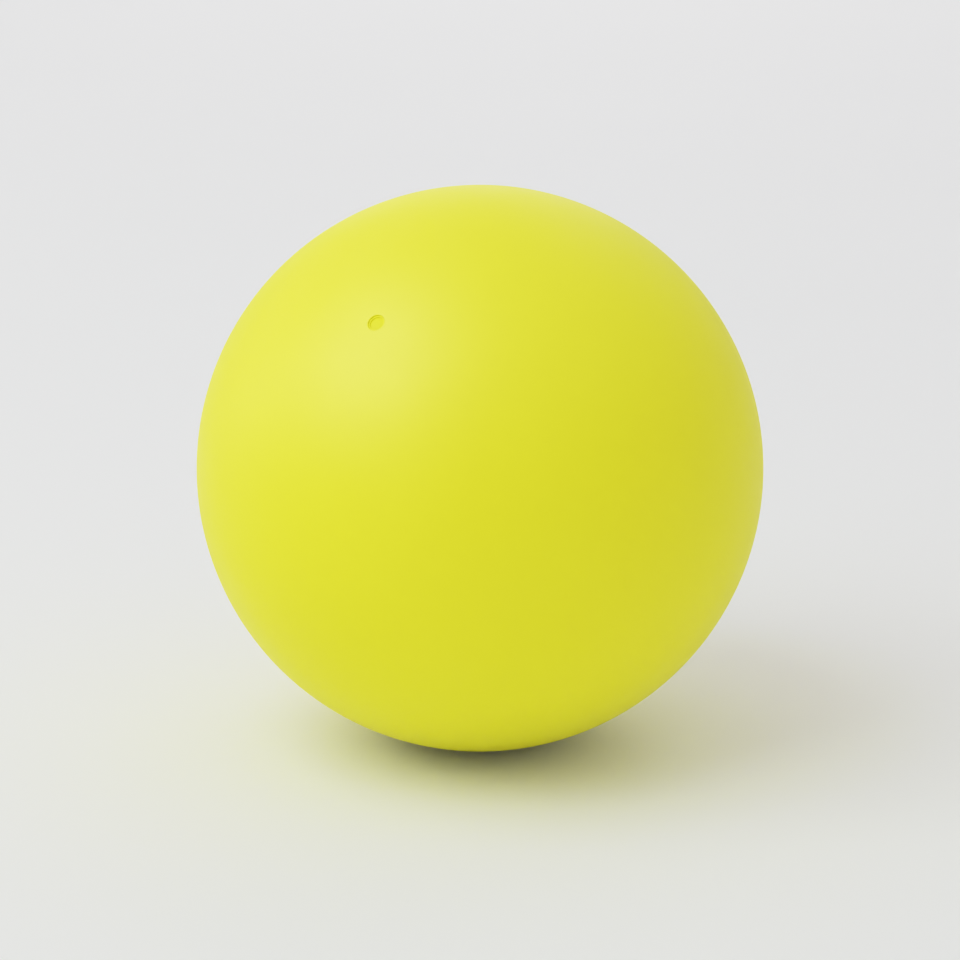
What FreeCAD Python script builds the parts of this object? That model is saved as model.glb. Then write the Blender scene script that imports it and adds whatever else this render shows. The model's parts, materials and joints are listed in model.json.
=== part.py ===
"""Inflatable layered rubber medicine ball with a self-sealing needle valve.

Every piece turns about one line, the valve axis. A body is drawn with that line as its Z and the ball's centre as
its origin. Its Placement then stands the ball on Z = 0, over the origin, and leans the valve towards -Y.
"""

import FreeCAD, Part

import math
import os

import Sketcher

SIZES = {
    # the wall, from the outside in
    "ball_diameter": 220,
    "cover_wall": 2.5,
    "weight_wall": 7.2,
    "winding_wall": 1.5,
    "bladder_wall": 1,
    # the two weight shells meet in a stepped lap round the middle of the ball
    "lap_half_height": 3,
    # angle of the valve axis above the horizontal, in degrees
    "valve_tilt": 43.5,
    # round opening in the cover over the valve
    "eyelet_diameter": 6.3,
    "eyelet_lip": 0.4,
    # valve housing: nose in the eyelet, neck through the wall, flange inside the bladder, tail in the air
    "nose_depth": 0.6,
    "nose_diameter": 6.26,
    "nose_lip": 0.05,
    "neck_diameter": 12,
    "flange_diameter": 30,
    "flange_wall": 1.2,
    "tail_diameter": 9,
    "tail_length": 7,
    "tail_lip": 0.6,
    "bore_diameter": 4.4,
    "seat_diameter": 5.1,
    "seat_depth": 1.6,
    # cloth patch between the bladder and the winding
    "patch_diameter": 44,
    "patch_wall": 0.7,
    # self-sealing insert: head in the seat, ribbed stem in the bore, slit tip past the tail
    "head_diameter": 5.04,
    "head_depth": 0.1,
    "head_crown_radius": 12,
    "head_lip": 0.05,
    "stem_diameter": 3.8,
    "rib_diameter": 4.3,
    "rib_root": 1.6,
    "rib_crest": 0.6,
    "first_rib_depth": 3,
    "rib_spread": 9,
    "rib_overlap": 0.3,
    "tip_reach": 2,
    "tip_taper": 2.5,
    "tip_diameter": 2.4,
    "needle_passage": 0.6,
    "slit_height": 3,
    "slit_span": 2,
    "slit_width": 0.1,
    "slit_overrun": 1,
}
RIB_COUNT = 3
SAME_LENGTH = 1e-4

# Radii about the ball's centre, as expressions of the sheet.
BALL = "(Sizes.ball_diameter / 2)"
UNDER_COVER = f"({BALL} - Sizes.cover_wall)"
LAP = f"({UNDER_COVER} - Sizes.weight_wall / 2)"
UNDER_WEIGHT = f"({UNDER_COVER} - Sizes.weight_wall)"
OVER_PATCH = f"({UNDER_WEIGHT} - Sizes.winding_wall + Sizes.patch_wall)"
UNDER_WINDING = f"({UNDER_WEIGHT} - Sizes.winding_wall)"
UNDER_BLADDER = f"({UNDER_WINDING} - Sizes.bladder_wall)"
UNDER_FLANGE = f"({UNDER_BLADDER} - Sizes.flange_wall)"

# Distances from the valve axis.
EYELET = "(Sizes.eyelet_diameter / 2)"
NOSE = "(Sizes.nose_diameter / 2)"
NECK = "(Sizes.neck_diameter / 2)"
FLANGE = "(Sizes.flange_diameter / 2)"
TAIL = "(Sizes.tail_diameter / 2)"
BORE = "(Sizes.bore_diameter / 2)"
SEAT = "(Sizes.seat_diameter / 2)"
PATCH = "(Sizes.patch_diameter / 2)"
HEAD = "(Sizes.head_diameter / 2)"
STEM = "(Sizes.stem_diameter / 2)"
RIB = "(Sizes.rib_diameter / 2)"
TIP = "(Sizes.tip_diameter / 2)"
PASSAGE = "(Sizes.needle_passage / 2)"

# Heights along the valve axis, from the ball's centre.
NOSE_TOP = f"({BALL} - Sizes.nose_depth)"
SEAT_TOP = f"({NOSE_TOP} - Sizes.seat_depth)"
TAIL_END = f"({UNDER_FLANGE} - Sizes.tail_length)"
TIP_END = f"({TAIL_END} - Sizes.tip_reach)"
HEAD_CENTRE = f"({NOSE_TOP} - Sizes.head_depth - Sizes.head_crown_radius)"
FIRST_RIB = f"({SEAT_TOP} - Sizes.first_rib_depth)"


def make_sheet(doc):
    """The spreadsheet of driving sizes, with one alias a row."""
    sheet = doc.addObject("Spreadsheet::Sheet", "Sizes")
    for row, (alias, value) in enumerate(SIZES.items(), start=1):
        sheet.set(f"A{row}", alias.replace("_", " "))
        sheet.set(f"B{row}", str(value))
        sheet.setAlias(f"B{row}", alias)
    doc.recompute()


def make_body(doc, label):
    """An empty body that stands where every piece of the ball stands."""
    body = doc.addObject("PartDesign::Body", label)
    body.Label = label
    body.Placement.Rotation = FreeCAD.Rotation(FreeCAD.Vector(1, 0, 0), 90)
    body.setExpression("Placement.Base.z", BALL)
    body.setExpression("Placement.Rotation.Angle", "90 - Sizes.valve_tilt")
    return body


def make_sketch(body, name):
    """A sketch on the body's own XZ plane, where the sketch's vertical axis is the valve axis."""
    sketch = body.newObject("Sketcher::SketchObject", name)
    plane = next(feature for feature in body.Origin.OriginFeatures if feature.Role == "XZ_Plane")
    sketch.AttachmentSupport = (plane, [""])
    sketch.MapMode = "FlatFace"
    return sketch


def number(sketch, expression):
    value = sketch.evalExpression(expression)
    return float(getattr(value, "Value", value))


def height_on(radius, across):
    """Expression for how high a sphere or an arc of this radius stands at this distance from the axis."""
    return f"sqrt({radius} ^ 2 - {across} ^ 2)"


def fix(sketch, point, across, up):
    """Ties a sketch point to its distance from the vertical axis and its height. None leaves one of them free."""
    for kind, expression, axis in (("DistanceX", across, -2), ("DistanceY", up, -1)):
        if expression == "0":
            sketch.addConstraint(Sketcher.Constraint("PointOnObject", *point, axis))
        elif expression:
            value = number(sketch, expression)
            index = sketch.addConstraint(Sketcher.Constraint(kind, *point, value))
            sketch.setExpression(f"Constraints[{index}]", expression)


def add_arc(sketch, start, end, centre):
    """An arc about the axis at this height. Returns its two end points in the order start, end."""
    middle = FreeCAD.Vector(0, number(sketch, centre), 0)
    circle = Part.Circle(middle, FreeCAD.Vector(0, 0, 1), start.distanceToPoint(middle))
    angles = [math.atan2(p.y - middle.y, p.x) for p in (start, end)]
    edge = sketch.addGeometry(Part.ArcOfCircle(circle, min(angles), max(angles)))
    fix(sketch, (edge, 3), "0", centre)
    low, high = (edge, 1), (edge, 2)
    return (low, high) if angles[0] < angles[1] else (high, low)


def add_line(sketch, start, end):
    edge = sketch.addGeometry(Part.LineSegment(start, end))
    return (edge, 1), (edge, 2)


def draw_outline(sketch, corners):
    """Draws a closed outline beside the vertical axis.

    A corner is (across, up), as expressions. A corner (across, up, centre) starts an arc about the axis at the height
    centre, and the others start straight runs. An arc's end can only slide along the arc, so its shorter coordinate
    places it.
    """
    places = [FreeCAD.Vector(*(number(sketch, c) for c in corner[:2]), 0) for corner in corners]
    edges = []
    for corner, start, end in zip(corners, places, places[1:] + places[:1]):
        edges.append(add_arc(sketch, start, end, corner[2]) if corner[2:] else add_line(sketch, start, end))
    for n, corner in enumerate(corners):
        before, after = edges[n - 1][1], edges[n][0]
        sketch.addConstraint(Sketcher.Constraint("Coincident", *before, *after))
        across, up = corner[:2]
        centre = corners[n - 1][2:]
        if centre:
            flat = abs(places[n].x) < abs(places[n].y - number(sketch, *centre))
            across, up = (across, None) if flat else (None, up)
        fix(sketch, after, across, up)


def revolve(body, name, corners):
    """A full turn of the outline about the valve axis."""
    sketch = make_sketch(body, name + "_profile")
    draw_outline(sketch, corners)
    turned = body.newObject("PartDesign::Revolution", name)
    turned.Profile = sketch
    turned.ReferenceAxis = (sketch, ["V_Axis"])
    turned.Angle = 360
    body.Document.recompute()
    return turned


def round_ring(body, feature, diameter, top, size):
    """Rounds the highest or the lowest of the feature's rings of this diameter, by a size of the sheet."""
    rings = []
    for index, edge in enumerate(feature.Shape.Edges, start=1):
        ring = not edge.Degenerated and isinstance(edge.Curve, Part.Circle)
        if ring and abs(2 * edge.Curve.Radius - SIZES[diameter]) < SAME_LENGTH:
            rings.append((edge.CenterOfMass.z, f"Edge{index}"))
    rounded = body.newObject("PartDesign::Fillet", size)
    rounded.Base = (feature, [max(rings)[1] if top else min(rings)[1]])
    rounded.setExpression("Radius", f"Sizes.{size}")
    body.Document.recompute()
    return rounded


def hollow_ball(body, name, outer, inner, hole):
    """A ball-shaped wall with a round hole for the valve."""
    return revolve(body, name, [
        ("0", f"-{outer}", "0"),
        (hole, height_on(outer, hole)),
        (hole, height_on(inner, hole), "0"),
        ("0", f"-{inner}"),
    ])


def make_cover(doc):
    """Seamless coloured rubber skin, with the soft-edged eyelet over the valve."""
    body = make_body(doc, "cover")
    wall = hollow_ball(body, "cover_wall", BALL, UNDER_COVER, EYELET)
    round_ring(body, wall, "eyelet_diameter", True, "eyelet_lip")


def make_weight_shell_valve_side(doc):
    """Heavy rubber half shell round the valve. Its outer half laps down over the other shell."""
    body = make_body(doc, "weight_shell_valve_side")
    revolve(body, "valve_side_wall", [
        (height_on(UNDER_COVER, "Sizes.lap_half_height"), "-Sizes.lap_half_height", "0"),
        (NECK, height_on(UNDER_COVER, NECK)),
        (NECK, height_on(UNDER_WEIGHT, NECK), "0"),
        (height_on(UNDER_WEIGHT, "Sizes.lap_half_height"), "Sizes.lap_half_height"),
        (height_on(LAP, "Sizes.lap_half_height"), "Sizes.lap_half_height", "0"),
        (height_on(LAP, "Sizes.lap_half_height"), "-Sizes.lap_half_height"),
    ])


def make_weight_shell_far_side(doc):
    """Heavy rubber half shell opposite the valve. Its inner half laps up inside the other shell."""
    body = make_body(doc, "weight_shell_far_side")
    revolve(body, "far_side_wall", [
        ("0", f"-{UNDER_COVER}", "0"),
        (height_on(UNDER_COVER, "Sizes.lap_half_height"), "-Sizes.lap_half_height"),
        (height_on(LAP, "Sizes.lap_half_height"), "-Sizes.lap_half_height", "0"),
        (height_on(LAP, "Sizes.lap_half_height"), "Sizes.lap_half_height"),
        (height_on(UNDER_WEIGHT, "Sizes.lap_half_height"), "Sizes.lap_half_height", "0"),
        ("0", f"-{UNDER_WEIGHT}"),
    ])


def make_thread_winding(doc):
    """Nylon thread wound round the bladder and set in rubber, with a hollow where it passes over the cloth patch."""
    body = make_body(doc, "thread_winding")
    revolve(body, "winding_wall", [
        ("0", f"-{UNDER_WEIGHT}", "0"),
        (NECK, height_on(UNDER_WEIGHT, NECK)),
        (NECK, height_on(OVER_PATCH, NECK), "0"),
        (PATCH, height_on(OVER_PATCH, PATCH)),
        (PATCH, height_on(UNDER_WINDING, PATCH), "0"),
        ("0", f"-{UNDER_WINDING}"),
    ])


def make_valve_patch(doc):
    """Ring of rubbered cloth on the bladder, which spreads the valve's load."""
    body = make_body(doc, "valve_patch")
    revolve(body, "patch_ring", [
        (PATCH, height_on(UNDER_WINDING, PATCH)),
        (PATCH, height_on(OVER_PATCH, PATCH), "0"),
        (NECK, height_on(OVER_PATCH, NECK)),
        (NECK, height_on(UNDER_WINDING, NECK), "0"),
    ])


def make_bladder(doc):
    """Airtight butyl bladder, open only for the valve's neck."""
    body = make_body(doc, "bladder")
    hollow_ball(body, "bladder_wall", UNDER_WINDING, UNDER_BLADDER, NECK)


def make_valve_housing(doc):
    """Moulded rubber valve body. Its flange is cemented under the bladder, and its neck goes out through the wall."""
    body = make_body(doc, "valve_housing")
    housing = revolve(body, "housing_body", [
        (SEAT, NOSE_TOP),
        (NOSE, NOSE_TOP),
        (NOSE, height_on(UNDER_COVER, NOSE), "0"),
        (NECK, height_on(UNDER_COVER, NECK)),
        (NECK, height_on(UNDER_BLADDER, NECK), "0"),
        (FLANGE, height_on(UNDER_BLADDER, FLANGE)),
        (FLANGE, height_on(UNDER_FLANGE, FLANGE), "0"),
        (TAIL, height_on(UNDER_FLANGE, TAIL)),
        (TAIL, TAIL_END),
        (BORE, TAIL_END),
        (BORE, SEAT_TOP),
        (SEAT, SEAT_TOP),
    ])
    nose = round_ring(body, housing, "nose_diameter", True, "nose_lip")
    round_ring(body, nose, "tail_diameter", False, "tail_lip")


def add_ribs(body):
    """Evenly spaced sealing ribs down the stem of the insert."""
    inside = f"({STEM} - Sizes.rib_overlap)"
    half_root, half_crest = "Sizes.rib_root / 2", "Sizes.rib_crest / 2"
    rib = revolve(body, "first_rib", [
        (inside, f"{FIRST_RIB} - {half_root}"),
        (STEM, f"{FIRST_RIB} - {half_root}"),
        (RIB, f"{FIRST_RIB} - {half_crest}"),
        (RIB, f"{FIRST_RIB} + {half_crest}"),
        (STEM, f"{FIRST_RIB} + {half_root}"),
        (inside, f"{FIRST_RIB} + {half_root}"),
    ])
    ribs = body.newObject("PartDesign::LinearPattern", "ribs")
    ribs.Originals = [rib]
    ribs.Direction = (rib.Profile[0], ["V_Axis"])
    ribs.Reversed = True
    ribs.Occurrences = RIB_COUNT
    ribs.setExpression("Length", "Sizes.rib_spread")
    body.Tip = ribs
    body.Document.recompute()


def cut_slit(body):
    """The slit across the tip. The ball's own air presses it shut, and a needle opens it."""
    sketch = make_sketch(body, "slit_profile")
    half = "Sizes.slit_span / 2"
    top, below = f"{TIP_END} + Sizes.slit_height", f"{TIP_END} - Sizes.slit_overrun"
    draw_outline(sketch, [
        (half, below),
        (half, top),
        (f"-{half}", top),
        (f"-{half}", below),
    ])
    slit = body.newObject("PartDesign::Pocket", "slit")
    slit.Profile = sketch
    slit.Midplane = True
    slit.setExpression("Length", "Sizes.slit_width")
    body.Document.recompute()
    return slit


def make_valve_insert(doc):
    """Soft self-sealing insert with a pinprick passage for the needle. It slides out along the valve axis."""
    body = make_body(doc, "valve_insert")
    passage_end = f"({TIP_END} + Sizes.slit_height)"
    head_edge = f"({HEAD_CENTRE} + {height_on('Sizes.head_crown_radius', HEAD)})"
    head_hole = f"({HEAD_CENTRE} + {height_on('Sizes.head_crown_radius', PASSAGE)})"
    insert = revolve(body, "insert_body", [
        ("0", passage_end),
        (PASSAGE, passage_end),
        (PASSAGE, head_hole, HEAD_CENTRE),
        (HEAD, head_edge),
        (HEAD, SEAT_TOP),
        (STEM, SEAT_TOP),
        (STEM, f"{TIP_END} + Sizes.tip_taper"),
        (TIP, TIP_END),
        ("0", TIP_END),
    ])
    round_ring(body, insert, "head_diameter", True, "head_lip")
    add_ribs(body)
    solid = body.Shape.Volume
    slit = cut_slit(body)
    if slit.Shape.Volume >= solid:
        raise RuntimeError("the slit cuts nothing out of the insert's tip")


def check(doc):
    """Stops before anything is written if a feature failed or a piece isn't one sound solid."""
    for item in doc.Objects:
        if {"Invalid", "Error"} & set(item.State):
            raise RuntimeError(f"{item.Label} failed: {item.State}")
    for body in bodies(doc):
        shape = body.Shape
        if shape.isNull() or not shape.isValid() or len(shape.Solids) != 1:
            raise RuntimeError(f"{body.Label} isn't one sound solid")


def bodies(doc):
    return [item for item in doc.Objects if item.TypeId == "PartDesign::Body"]


def main():
    doc = FreeCAD.newDocument("medicine_ball")
    make_sheet(doc)
    make_cover(doc)
    make_weight_shell_valve_side(doc)
    make_weight_shell_far_side(doc)
    make_thread_winding(doc)
    make_valve_patch(doc)
    make_bladder(doc)
    make_valve_housing(doc)
    make_valve_insert(doc)
    doc.recompute()
    check(doc)
    os.makedirs("parts", exist_ok=True)
    for body in bodies(doc):
        body.Shape.exportStep(f"parts/{body.Label}.step")
        box = body.Shape.BoundBox
        print(f"{body.Label}: {body.Shape.Volume:.1f} mm3, Z {box.ZMin:.2f} to {box.ZMax:.2f}")


main()
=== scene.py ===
"""Looks of the yellow rubber medicine ball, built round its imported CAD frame.

Lengths are in metres. Every piece of the ball turns about the valve axis. A profile is a list of
points (distance from that axis, height above the ball's centre along it), and turn() sweeps it
into a mesh.
"""

import json
import math

import bmesh
import bpy
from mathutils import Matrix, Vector


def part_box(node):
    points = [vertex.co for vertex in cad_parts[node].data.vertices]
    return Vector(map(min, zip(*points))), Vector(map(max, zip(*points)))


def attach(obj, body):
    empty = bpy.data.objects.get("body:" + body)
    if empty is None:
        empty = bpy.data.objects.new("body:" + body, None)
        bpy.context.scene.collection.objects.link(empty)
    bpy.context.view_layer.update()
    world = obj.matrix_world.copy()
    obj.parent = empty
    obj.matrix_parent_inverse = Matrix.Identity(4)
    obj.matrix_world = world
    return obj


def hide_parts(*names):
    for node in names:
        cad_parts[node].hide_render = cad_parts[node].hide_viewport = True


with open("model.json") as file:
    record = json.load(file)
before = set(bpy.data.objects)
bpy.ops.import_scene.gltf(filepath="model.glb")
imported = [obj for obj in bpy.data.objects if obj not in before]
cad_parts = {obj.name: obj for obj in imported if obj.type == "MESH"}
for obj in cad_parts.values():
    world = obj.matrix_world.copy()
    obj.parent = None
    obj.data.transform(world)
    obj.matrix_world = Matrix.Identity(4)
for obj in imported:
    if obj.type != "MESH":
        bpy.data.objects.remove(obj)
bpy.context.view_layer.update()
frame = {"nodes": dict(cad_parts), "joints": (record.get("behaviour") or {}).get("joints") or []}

MM = 0.001

# The ball and its valve axis, from the frame.
COVER_LOW, COVER_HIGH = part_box("cover")
CENTRE = (COVER_LOW + COVER_HIGH) / 2
BALL = (COVER_HIGH.z - COVER_LOW.z) / 2
VALVE_AXIS = Vector(frame["joints"][0]["axis"]).normalized()

# Layers of the wall, as radii about the ball's centre.
UNDER_COVER = BALL - 2.5 * MM
UNDER_BLADDER = UNDER_COVER - 9.7 * MM
UNDER_FLANGE = UNDER_BLADDER - 1.2 * MM

# Valve: distances from its axis, and heights along it.
EYELET = 3.15 * MM
EYELET_LIP = 0.4 * MM
NOSE = 3.13 * MM
NOSE_LIP = 0.05 * MM
NECK = 6 * MM
FLANGE = 15 * MM
TAIL = 4.5 * MM
TAIL_LIP = 0.6 * MM
BORE = 2.2 * MM
SEAT = 2.55 * MM
HEAD = 2.52 * MM
HEAD_LIP = 0.05 * MM
HEAD_CROWN = 12 * MM
STEM = 1.9 * MM
RIB = 2.15 * MM
RIB_HEIGHT = 1.6 * MM
RIB_STEPS = (0, 4.5 * MM, 9 * MM)
TIP = 1.2 * MM
TIP_TAPER = 2.5 * MM
TIP_LIP = 0.2 * MM
DIMPLE = 0.3 * MM
DIMPLE_DEPTH = 0.12 * MM
SLIT_SIZE = (2 * MM, 0.1 * MM, 3 * MM)
SLIT_OVERRUN = 0.01 * MM
NOSE_TOP = BALL - 0.6 * MM
SEAT_TOP = NOSE_TOP - 1.6 * MM
HEAD_TOP = NOSE_TOP - 0.1 * MM
FIRST_RIB = SEAT_TOP - 3 * MM
TAIL_END = UNDER_FLANGE - 7 * MM
TIP_END = TAIL_END - 2 * MM

# Camera: azimuth from -Y towards +X, and elevation, both of the line from the ball to the camera.
CAMERA_AZIMUTH = 28.6
CAMERA_ELEVATION = 16
CAMERA_LENS = 150
CAMERA_SENSOR = 36
OUTLINE_SHARE = 0.5906
CENTRE_LIFT = 0.0124

# Tone: light above the knee is rolled off, and never gets past white.
TONE_KNEE = 0.5
TONE_WHITE = 1.35
TONE_RANGE = 3.0
TONE_STEPS = 12

# Light: colours of the softboxes and of the sky, and the sky's strength.
WHITE = (1, 1, 1)
COOL = (0.90, 1, 0.94)
SKY_COLOUR = (1, 0.967, 1, 1)
SKY_STRENGTH = 0.655

# Stage: a flat round floor that curves up into a wall.
FLOOR_RADIUS = 2.6
COVE_RADIUS = 1.4
WALL_HEIGHT = 3.2

# Mesh: edges sharper than this many degrees stay crisp, and faces round each turned piece.
SHARP_EDGE = 35
COVER_SEGMENTS = 256
HOUSING_SEGMENTS = 128
INSERT_SEGMENTS = 96
STAGE_SEGMENTS = 128


# ---------------------------------------------------------------------------------------- profiles


def sphere_arc(radius, start, end, steps, ease=1.0):
    """Points on a circle about the ball's centre, by the angle from the valve axis.

    ease above 1 crowds the points near the start.
    """
    angles = [start + (end - start) * (n / steps) ** ease for n in range(steps + 1)]
    return [(radius * math.sin(a), radius * math.cos(a)) for a in angles]


def corner_arc(middle, radius, start, end, steps):
    """Points on a small circle about middle.

    Angles are from the direction away from the axis, towards the height.
    """
    angles = [start + (end - start) * n / steps for n in range(steps + 1)]
    return [(middle[0] + radius * math.cos(a), middle[1] + radius * math.sin(a)) for a in angles]


def ring_arc(radius, start_across, end_across, steps):
    """Points on a circle about the ball's centre, by distance from the valve axis."""
    return sphere_arc(radius, math.asin(start_across / radius), math.asin(end_across / radius), steps)


def height_on(radius, across):
    return math.sqrt(radius ** 2 - across ** 2)


def turn(name, profile, segments, origin=CENTRE, axis=VALVE_AXIS, closed=True):
    """Sweeps a profile about the axis.

    A closed one joins its last point to its first, unless both are on the axis.
    """
    along = axis.normalized()
    side = along.orthogonal().normalized()
    other = along.cross(side)
    mesh = bmesh.new()
    rings = []
    for across, up in profile:
        if across < 1e-9:
            rings.append([mesh.verts.new(origin + along * up)])
            continue
        ring = []
        for n in range(segments):
            angle = 2 * math.pi * n / segments
            outward = side * math.cos(angle) + other * math.sin(angle)
            ring.append(mesh.verts.new(origin + outward * across + along * up))
        rings.append(ring)
    for first, second in zip(rings, rings[1:] + (rings[:1] if closed else [])):
        if len(first) == 1 and len(second) == 1:
            continue
        for n in range(segments):
            m = (n + 1) % segments
            if len(first) == 1:
                mesh.faces.new((first[0], second[n], second[m]))
            elif len(second) == 1:
                mesh.faces.new((first[m], first[n], second[0]))
            else:
                mesh.faces.new((first[m], first[n], second[n], second[m]))
    bmesh.ops.recalc_face_normals(mesh, faces=mesh.faces)
    data = bpy.data.meshes.new(name)
    mesh.to_mesh(data)
    mesh.free()
    data.shade_smooth()
    data.set_sharp_from_angle(angle=math.radians(SHARP_EDGE))
    piece = bpy.data.objects.new(name, data)
    bpy.context.scene.collection.objects.link(piece)
    return piece


# --------------------------------------------------------------------------------------- materials


class Nodes:
    """Short calls for building one node material."""

    def __init__(self, name):
        self.material = bpy.data.materials.new(name)
        self.material.use_nodes = True
        self.tree = self.material.node_tree
        self.shader = self.tree.nodes["Principled BSDF"]
        self.place = self.add("ShaderNodeTexCoord").outputs["Object"]

    def add(self, kind, **settings):
        node = self.tree.nodes.new(kind)
        for key, value in settings.items():
            setattr(node, key, value)
        return node

    def link(self, source, target):
        self.tree.links.new(source, target)

    def noise(self, scale, detail=2.0, roughness=0.5):
        node = self.add("ShaderNodeTexNoise")
        node.inputs["Scale"].default_value = scale
        node.inputs["Detail"].default_value = detail
        node.inputs["Roughness"].default_value = roughness
        self.link(self.place, node.inputs["Vector"])
        return node.outputs["Fac"]

    def wave(self, scale, distortion=0.0, direction="X"):
        node = self.add("ShaderNodeTexWave", wave_type="BANDS", bands_direction=direction)
        node.inputs["Scale"].default_value = scale
        node.inputs["Distortion"].default_value = distortion
        self.link(self.place, node.inputs["Vector"])
        return node.outputs["Fac"]

    def spread(self, value, low, high, start=0.3, end=0.7):
        """Stretches a value from start..end to low..high."""
        node = self.add("ShaderNodeMapRange")
        node.inputs["From Min"].default_value = start
        node.inputs["From Max"].default_value = end
        node.inputs["To Min"].default_value = low
        node.inputs["To Max"].default_value = high
        self.link(value, node.inputs["Value"])
        return node.outputs["Result"]

    def math(self, operation, first, second):
        node = self.add("ShaderNodeMath", operation=operation)
        for socket, value in zip(node.inputs, (first, second)):
            if isinstance(value, (int, float)):
                socket.default_value = value
            else:
                self.link(value, socket)
        return node.outputs[0]

    def blend(self, share, first, second):
        """A colour between two colours, each a triple or another colour output."""
        node = self.add("ShaderNodeMix", data_type="RGBA")
        self.link(share, node.inputs["Factor"])
        for socket, value in ((node.inputs[6], first), (node.inputs[7], second)):
            if isinstance(value, tuple):
                socket.default_value = (*value, 1)
            else:
                self.link(value, socket)
        return node.outputs[2]

    def bump(self, height, distance, strength=1.0, after=None):
        node = self.add("ShaderNodeBump")
        node.inputs["Strength"].default_value = strength
        node.inputs["Distance"].default_value = distance
        self.link(height, node.inputs["Height"])
        if after:
            self.link(after, node.inputs["Normal"])
        return node.outputs["Normal"]

    def finish(self, colour, roughness, normal, **sockets):
        self.link(colour, self.shader.inputs["Base Color"])
        self.link(roughness, self.shader.inputs["Roughness"])
        self.link(normal, self.shader.inputs["Normal"])
        for key, value in sockets.items():
            self.shader.inputs[key.replace("_", " ")].default_value = value
        return self.material


YELLOW = (0.92, 0.887, 0.009)
YELLOW_DEEP = (0.91, 0.873, 0.007)
YELLOW_FRESH = (0.93, 0.901, 0.011)


def coloured_rubber(name, grain, roughness, shine):
    """Pigmented rubber: clouded colour, a fine moulded grain and a faint waviness from curing."""
    n = Nodes(name)
    clouds = n.spread(n.noise(14, 3, 0.55), 0, 1)
    specks = n.spread(n.noise(900, 2, 0.6), 0, 1)
    base = n.blend(clouds, YELLOW_DEEP, YELLOW_FRESH)
    tint = n.blend(n.math("MULTIPLY", specks, 0.5), base, YELLOW)
    patches = n.spread(n.noise(35, 3), roughness - 0.025, roughness + 0.025)
    rough = n.math("ADD", patches, n.spread(n.noise(1200, 1), -0.02, 0.02))
    waves = n.bump(n.noise(28, 2), 0.10 * MM, 0.5)
    surface = n.bump(n.noise(2600, 2, 0.65), grain, 0.5, waves)
    return n.finish(tint, rough, surface, Specular_IOR_Level=shine)


def heavy_rubber():
    """Black mineral-filled rubber, dull, with pale flecks of filler."""
    n = Nodes("heavy_rubber")
    flecks = n.spread(n.noise(2200, 1, 0.4), 0, 1, 0.66, 0.74)
    clouds = n.spread(n.noise(40, 4), 0, 1)
    base = n.blend(clouds, (0.022, 0.022, 0.024), (0.040, 0.039, 0.038))
    colour = n.blend(flecks, base, (0.16, 0.15, 0.14))
    rough = n.spread(n.noise(160, 3), 0.62, 0.82)
    surface = n.bump(n.noise(700, 4, 0.7), 0.15 * MM, 0.6)
    return n.finish(colour, rough, surface, Specular_IOR_Level=0.4)


def wound_nylon():
    """Pale nylon threads in crossing bands, set in cured latex."""
    n = Nodes("wound_nylon")
    bands = n.math("MAXIMUM", n.wave(420, 1.2, "X"), n.wave(380, 1.4, "DIAGONAL"))
    threads = n.math("MAXIMUM", bands, n.wave(400, 1.3, "Z"))
    latex = n.spread(n.noise(60, 3), 0, 0.6)
    strand = n.blend(threads, (0.36, 0.30, 0.18), (0.72, 0.67, 0.54))
    colour = n.blend(latex, strand, (0.50, 0.42, 0.24))
    rough = n.spread(threads, 0.75, 0.55, 0, 1)
    return n.finish(colour, rough, n.bump(threads, 0.25 * MM, 0.8), Specular_IOR_Level=0.4)


def patch_cloth():
    """Square-woven cotton, rubbered grey."""
    n = Nodes("patch_cloth")
    weave = n.math("MULTIPLY", n.wave(900, 0.2, "X"), n.wave(900, 0.2, "Z"))
    worn = n.spread(n.noise(300, 3), 0, 0.5)
    cloth = n.blend(weave, (0.17, 0.16, 0.14), (0.36, 0.34, 0.30))
    colour = n.blend(worn, cloth, (0.24, 0.22, 0.19))
    rough = n.spread(weave, 0.9, 0.75, 0, 1)
    return n.finish(colour, rough, n.bump(weave, 0.12 * MM, 0.8), Specular_IOR_Level=0.3)


def butyl():
    """Black butyl rubber with a soft shine and a bloom of dust from the mould."""
    n = Nodes("butyl")
    bloom = n.spread(n.noise(24, 5, 0.6), 0, 1, 0.45, 0.75)
    colour = n.blend(bloom, (0.012, 0.012, 0.013), (0.055, 0.054, 0.052))
    rough = n.math("ADD", n.spread(n.noise(50, 3), 0.34, 0.42), n.math("MULTIPLY", bloom, 0.2))
    return n.finish(colour, rough, n.bump(n.noise(500, 2), 0.05 * MM, 0.5), Specular_IOR_Level=0.5)


def studio_paint():
    """Matt pale paint of the stage."""
    n = Nodes("studio_paint")
    colour = n.blend(n.spread(n.noise(3, 2), 0, 1), (0.915, 0.915, 0.915), (0.925, 0.925, 0.925))
    rough = n.spread(n.noise(8, 2), 0.85, 0.95)
    return n.finish(colour, rough, n.bump(n.noise(400, 2), 0.01 * MM, 0.1), Specular_IOR_Level=0.1)


def paint(thing, material):
    thing.data.materials.clear()
    thing.data.materials.append(material)


# ------------------------------------------------------------------------------------------ pieces


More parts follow.
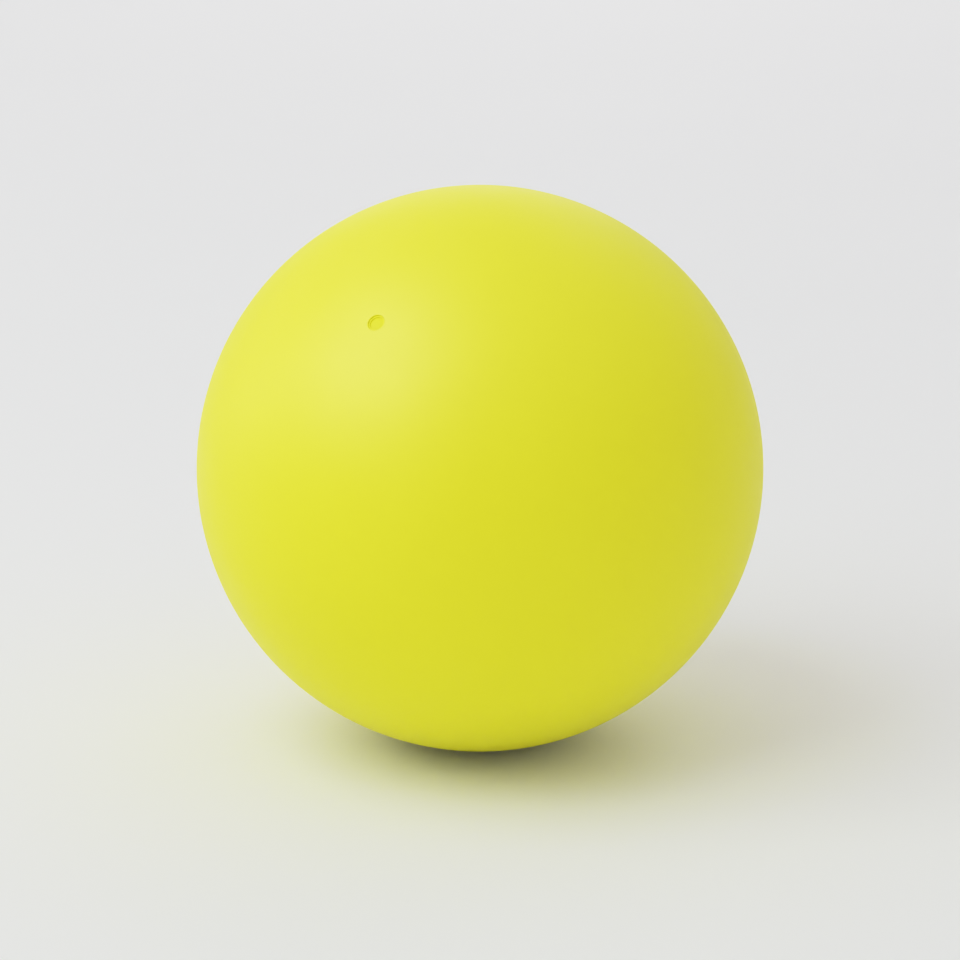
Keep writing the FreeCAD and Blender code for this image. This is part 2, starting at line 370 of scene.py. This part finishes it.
def make_cover():
    """The seamless skin: outer sphere, rounded eyelet, inner sphere."""
    lip_across = EYELET + EYELET_LIP
    lip_up = height_on(BALL - EYELET_LIP, lip_across)
    lean = math.atan2(lip_across, lip_up)
    outside = sphere_arc(BALL, lean, math.pi, 190, 1.35)[::-1]
    lip = corner_arc((lip_across, lip_up), EYELET_LIP, math.pi / 2 - lean, math.pi, 12)
    inner_start = math.asin(EYELET / UNDER_COVER)
    inside = sphere_arc(UNDER_COVER, inner_start, math.pi, 48, 1.35)
    outside[0] = (0, -BALL)
    inside[-1] = (0, -UNDER_COVER)
    return turn("cover_skin", outside + lip[1:] + inside, COVER_SEGMENTS)


def make_valve_housing():
    """The moulded valve body: nose in the eyelet, neck in the wall, flange in the bladder, tail."""
    nose_lip = corner_arc((NOSE - NOSE_LIP, NOSE_TOP - NOSE_LIP), NOSE_LIP, math.pi / 2, 0, 8)
    shoulder = ring_arc(UNDER_COVER, NOSE, NECK, 4)
    over_flange = ring_arc(UNDER_BLADDER, NECK, FLANGE, 8)
    under_flange = ring_arc(UNDER_FLANGE, FLANGE, TAIL, 8)
    tail_lip = corner_arc((TAIL - TAIL_LIP, TAIL_END + TAIL_LIP), TAIL_LIP, 0, -math.pi / 2, 8)
    profile = [(SEAT, NOSE_TOP)] + nose_lip + shoulder + over_flange + under_flange + tail_lip
    profile += [(BORE, TAIL_END), (BORE, SEAT_TOP), (SEAT, SEAT_TOP)]
    return turn("valve_nose_and_neck", profile, HOUSING_SEGMENTS)


def make_valve_insert():
    """The soft insert. Its pinprick is pressed shut at rest, so the mouth is only a dimple."""
    crown_centre = HEAD_TOP - HEAD_CROWN
    edge = HEAD - HEAD_LIP
    dimple = [(DIMPLE * n / 5, HEAD_TOP - DIMPLE_DEPTH * (1 - (n / 5) ** 2) ** 2) for n in range(6)]
    spans = [DIMPLE + (edge - DIMPLE) * n / 10 for n in range(1, 11)]
    dome = [(across, crown_centre + height_on(HEAD_CROWN, across)) for across in spans]
    lip = corner_arc((edge, dome[-1][1] - HEAD_LIP), HEAD_LIP, math.pi / 2, 0, 6)
    stem = [(HEAD, SEAT_TOP), (STEM, SEAT_TOP)]
    for step in RIB_STEPS:
        for n in range(13):
            swell = math.sin(math.pi * n / 12) ** 2
            up = FIRST_RIB - step + RIB_HEIGHT * (0.5 - n / 12)
            stem.append((STEM + (RIB - STEM) * swell, up))
    tip_lip = corner_arc((TIP - TIP_LIP, TIP_END + TIP_LIP), TIP_LIP, 0, -math.pi / 2, 6)
    tip = [(STEM, TIP_END + TIP_TAPER)] + tip_lip + [(0, TIP_END)]
    insert = turn("valve_insert_soft", dimple + dome + lip[1:] + stem + tip, INSERT_SEGMENTS)
    cut_slit(insert)
    return insert


def cut_slit(piece):
    """Cuts the slit across the insert's tip, which a needle opens."""
    cutter_data = bpy.data.meshes.new("slit_cutter")
    box = bmesh.new()
    bmesh.ops.create_cube(box, size=1)
    bmesh.ops.scale(box, vec=SLIT_SIZE, verts=box.verts)
    box.to_mesh(cutter_data)
    box.free()
    cutter = bpy.data.objects.new("slit_cutter", cutter_data)
    bpy.context.scene.collection.objects.link(cutter)
    cutter.rotation_euler = VALVE_AXIS.to_track_quat("Z", "Y").to_euler()
    cutter.location = CENTRE + VALVE_AXIS * (TIP_END + SLIT_SIZE[2] / 2 - SLIT_OVERRUN)
    bpy.context.view_layer.update()
    cut = piece.modifiers.new("slit", "BOOLEAN")
    cut.operation = "DIFFERENCE"
    cut.solver = "EXACT"
    cut.object = cutter
    graph = bpy.context.evaluated_depsgraph_get()
    result = bpy.data.meshes.new_from_object(piece.evaluated_get(graph))
    piece.modifiers.clear()
    piece.data = result
    bpy.data.objects.remove(cutter)


# -------------------------------------------------------------------------------- stage and camera


def direction(azimuth, elevation):
    """Unit vector from the ball, with azimuth in degrees from -Y towards +X."""
    a, e = math.radians(azimuth), math.radians(elevation)
    return Vector((math.sin(a) * math.cos(e), -math.cos(a) * math.cos(e), math.sin(e)))


def make_stage():
    cove = corner_arc((FLOOR_RADIUS, COVE_RADIUS), COVE_RADIUS, -math.pi / 2, 0, 32)
    ground = [(0, 0), (0.5, 0), (1.2, 0)]
    wall = [(FLOOR_RADIUS + COVE_RADIUS, WALL_HEIGHT)]
    upright = Vector((0, 0, 1))
    rest = Vector((0, 0, 0))
    floor = turn("studio_floor", ground + cove + wall, STAGE_SEGMENTS, rest, upright, closed=False)
    paint(floor, studio_paint())


def add_softbox(name, azimuth, elevation, distance, size, watts, colour=WHITE, shine_only=False):
    """A square soft light aimed at the ball. azimuth is from the camera's, positive to its right.

    shine_only makes it show in gloss and light nothing else.
    """
    data = bpy.data.lights.new(name, "AREA")
    data.shape = "SQUARE"
    data.size = size
    data.energy = watts
    data.color = colour
    lamp = bpy.data.objects.new(name, data)
    towards = direction(CAMERA_AZIMUTH + azimuth, elevation)
    lamp.location = CENTRE + towards * distance
    lamp.rotation_euler = towards.to_track_quat("Z", "Y").to_euler()
    lamp.visible_diffuse = not shine_only
    lamp.visible_camera = False
    bpy.context.scene.collection.objects.link(lamp)


def make_lights():
    world = bpy.data.worlds.new("studio_ceiling")
    world.use_nodes = True
    sky = world.node_tree.nodes["Background"]
    sky.inputs["Color"].default_value = SKY_COLOUR
    sky.inputs["Strength"].default_value = SKY_STRENGTH
    bpy.context.scene.world = world
    add_softbox("key", -61, 50, 2.4, 2.0, 27, COOL)
    add_softbox("key_shine", -68, 45, 2.4, 2.0, 78, shine_only=True)
    add_softbox("core_shine", -50, 50, 2.4, 1.0, 7, shine_only=True)
    add_softbox("sky_shine", 50, 66, 2.4, 3.0, 14, shine_only=True)
    add_softbox("top_shine", -130, 45, 2.4, 2.4, 14, shine_only=True)
    add_softbox("left_shine", -105, 12, 2.4, 0.8, 7, shine_only=True)
    add_softbox("back_fill", 180, 17, 2.4, 1.2, 4.2)
    add_softbox("left_back_fill", -120, 17, 2.4, 1.2, 3.8)
    add_softbox("right_back_fill", 150, 40, 2.4, 1.3, 3.6)


def make_camera():
    data = bpy.data.cameras.new("camera")
    data.lens = CAMERA_LENS
    data.sensor_width = CAMERA_SENSOR
    data.shift_y = -CENTRE_LIFT
    half_angle = math.atan(OUTLINE_SHARE * CAMERA_SENSOR / 2 / CAMERA_LENS)
    towards = direction(CAMERA_AZIMUTH, CAMERA_ELEVATION)
    camera = bpy.data.objects.new("camera", data)
    camera.location = CENTRE + towards * (BALL / math.sin(half_angle))
    camera.rotation_euler = (-towards).to_track_quat("-Z", "Y").to_euler()
    bpy.context.scene.collection.objects.link(camera)
    bpy.context.scene.camera = camera


def set_tone():
    """A plain transform, with a camera's soft roll-off of highlights above the knee."""
    view = bpy.context.scene.view_settings
    view.view_transform = "Standard"
    view.use_curve_mapping = True
    mapping = view.curve_mapping
    mapping.white_level = (TONE_RANGE,) * 3
    curve = mapping.curves[3]
    while len(curve.points) > 2:
        curve.points.remove(curve.points[1])
    bends = [TONE_KNEE + (TONE_RANGE - TONE_KNEE) * n / TONE_STEPS for n in range(TONE_STEPS + 1)]
    curve.points[0].location = (0, 0)
    curve.points[1].location = (1, rolled_off(TONE_RANGE))
    for light in bends[:-1]:
        curve.points.new(light / TONE_RANGE, rolled_off(light))
    for point in curve.points:
        point.handle_type = "VECTOR"
    mapping.update()


def rolled_off(light):
    above = light - TONE_KNEE
    return TONE_KNEE + above / (1 + above / (TONE_WHITE - TONE_KNEE))


def main():
    skin_rubber = coloured_rubber("satin_yellow_rubber", 0.02 * MM, 0.5, 0.3)
    valve_rubber = coloured_rubber("matt_yellow_rubber", 0.01 * MM, 0.6, 0.15)
    for make, node, slot, body, material in (
        (make_cover, "cover", "cover_rubber", "ball", skin_rubber),
        (make_valve_housing, "valve_housing", "valve_rubber", "ball", valve_rubber),
        (make_valve_insert, "valve_insert", "valve_rubber", "insert", valve_rubber),
    ):
        piece = make()
        paint(piece, material)
        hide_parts(node)
        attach(piece, body)
    black = heavy_rubber()
    for node, material in (
        ("weight_shell_valve_side", black),
        ("weight_shell_far_side", black),
        ("thread_winding", wound_nylon()),
        ("valve_patch", patch_cloth()),
        ("bladder", butyl()),
    ):
        paint(frame["nodes"][node], material)
    make_stage()
    make_lights()
    make_camera()
    set_tone()


main()
